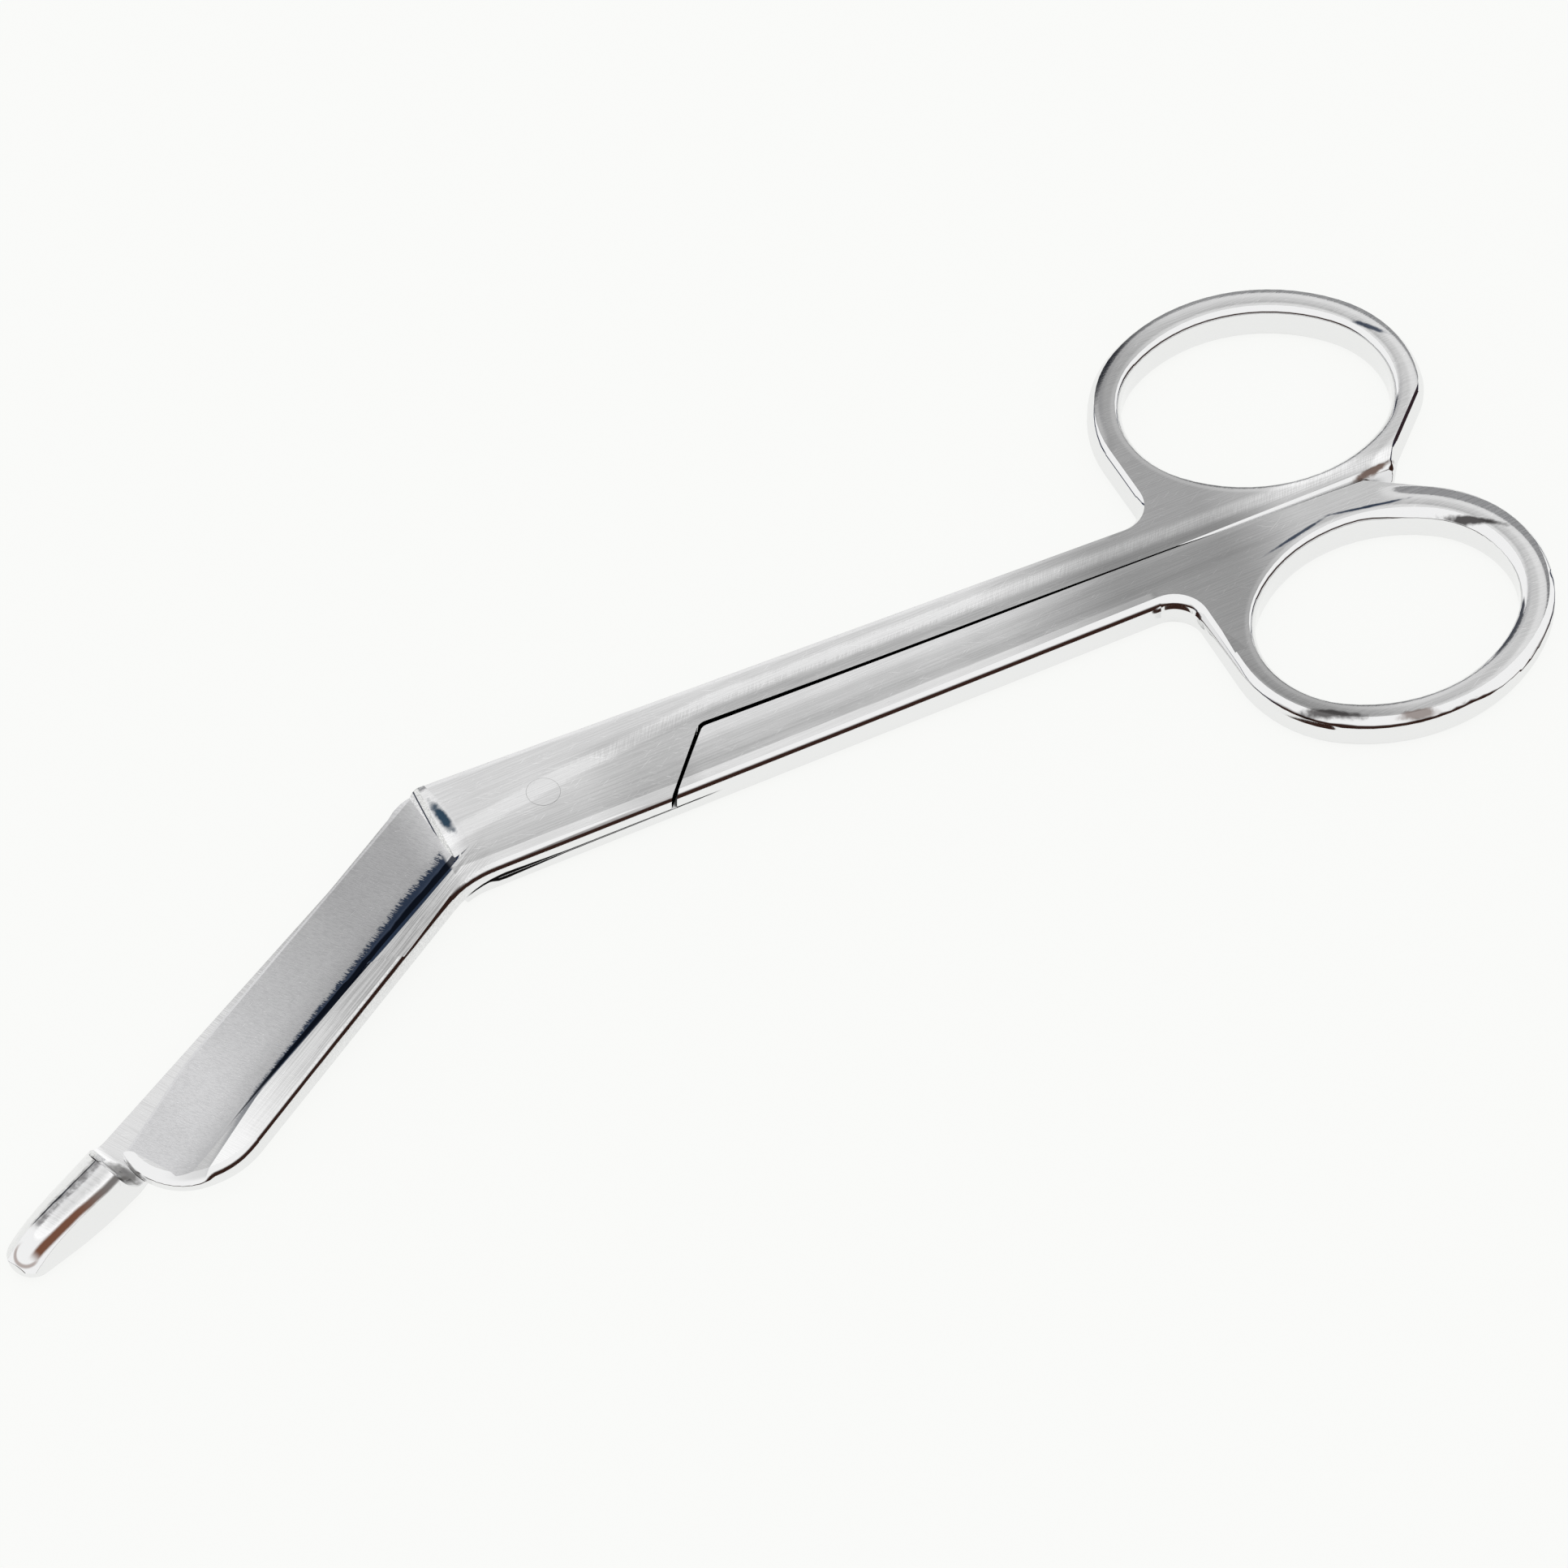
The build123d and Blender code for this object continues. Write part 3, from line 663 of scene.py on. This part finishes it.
def rounded_normal(surface, half):
    """The normal, bent where the rims are rounder than the mesh and where the sides lean."""
    tree, x, z, up = surface.tree, surface.x, surface.z, surface.up
    flat, blade = surface.flat, surface.blade
    near_part = surface.near.step(*near_shoulder, near_shoulder_slope, 0.0) * x.drop(*near_shoulder_end) * flat
    far_part = surface.far.step(*far_shoulder, far_shoulder_slope, 0.0)
    far_part = far_part * x.window(*far_shoulder_part, far_shoulder_fade) * flat
    rise = surface.wall * z.step(*wall_slope_in) * z.step(*wall_slope_out) * wall_slope
    turning = up.step(*turn_start) * up.drop(*turn_end)
    if half == "blunt":
        near_part = near_part.most(surface.foot.step(*cove_end) * blade * flat * land_slope)
    slope_x = blade * near_part * sin(spine_turn)
    slope_y = far_part - near_part * (1.0 - blade * (1.0 - cos(spine_turn)))
    if half in ring_centres:
        ring_x, ring_y, outward = ring_rounding(x, surface.y, half)
        slope_x = slope_x + ring_x * flat
        slope_y = slope_y + ring_y * flat
        rise = rise * outward.step(*ring_wall)
    if half == "blunt":
        rise = rise + x.drop(*blunt_end) * turning * blunt_end_rise
    if half == "probe":
        along, across = surface.along_nub, surface.across_nub
        on_nub = along.step(*nub_start)
        sideways = (across.step(*nub_side_near) - across.drop(*nub_side_far)) * on_nub * nub_side_slope
        forward = along.step(*nub_side_tip) * nub_side_slope
        slope_x = slope_x - sideways * nub_way[1] + forward * nub_way[0]
        slope_y = slope_y + sideways * nub_way[0] + forward * nub_way[1]
        rise = rise * (1.0 - on_nub) + x.step(*ring_end) * turning * ring_end_rise
    lean = new_node(tree, "ShaderNodeCombineXYZ", {0: slope_x, 1: slope_y, 2: rise})
    turned = new_node(tree, "ShaderNodeVectorTransform", {0: lean.outputs[0]}, vector_type="VECTOR",
                      convert_from="OBJECT", convert_to="WORLD")
    total = new_node(tree, "ShaderNodeVectorMath", {0: surface.normal, 1: turned.outputs[0]}, operation="ADD")
    return new_node(tree, "ShaderNodeVectorMath", {0: total.outputs[0]}, operation="NORMALIZE").outputs[0]


def bump(tree, height, depth, normal):
    node = new_node(tree, "ShaderNodeBump",
                    {"Strength": 1.0, "Distance": depth * micron, "Height": height, "Normal": normal})
    return node.outputs[0]


def steel(name, half):
    """Ground and polished stainless steel: satin faces with fine lines, polished sides and coves, with painted
    reflections, highlights and shade in the colour.
    """
    material = bpy.data.materials.new(name)
    material.use_nodes = True
    tree = material.node_tree
    shader = tree.nodes["Principled BSDF"]
    shader.inputs["Metallic"].default_value = 1.0
    surface = Surface(tree, half)
    flat, brush, scratches = surface.flat, surface.brush, surface.scratches

    level = satin_level(surface, half)
    satin = new_node(tree, "ShaderNodeCombineXYZ", {0: level, 1: level, 2: level}).outputs[0]
    tone = blend(tree, flat, polish_tone, satin)
    if half == "blunt":
        tone = cove_tone(surface, tone)
    if half == "probe":
        tone = probe_tone(surface, tone)
    tone = painted_spot_tone(surface, tone, half)
    tone = crevice_shade(surface, tone)
    feed(tree, tone, shader.inputs["Base Color"])

    satin_part = brush * brush_roughness - scratches * scratch_gloss + (satin_roughness - polish_roughness)
    feed(tree, flat * satin_part + polish_roughness, shader.inputs["Roughness"])

    # slow waves on the hand-polished sides, lines and scratches on the faces
    waves = bump(tree, surface.noise("waves"), wave_depth, rounded_normal(surface, half))
    lines = bump(tree, (brush + scratches) * flat, scratch_depth, waves)
    feed(tree, lines, shader.inputs["Normal"])
    return material


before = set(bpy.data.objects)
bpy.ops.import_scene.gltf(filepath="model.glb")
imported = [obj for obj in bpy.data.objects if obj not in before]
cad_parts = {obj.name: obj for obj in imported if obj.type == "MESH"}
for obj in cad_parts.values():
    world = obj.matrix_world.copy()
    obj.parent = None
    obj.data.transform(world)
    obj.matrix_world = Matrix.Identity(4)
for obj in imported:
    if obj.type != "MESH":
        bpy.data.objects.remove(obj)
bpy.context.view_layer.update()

bpy.context.scene.view_settings.view_transform = "Standard"
build_world()
build_floor()
build_camera()

for node_name, half in (("blunt_half", "blunt"), ("probe_half", "probe"), ("pivot_screw", "screw")):
    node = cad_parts[node_name]
    node.data.materials[0] = steel(node_name + "_steel", half)
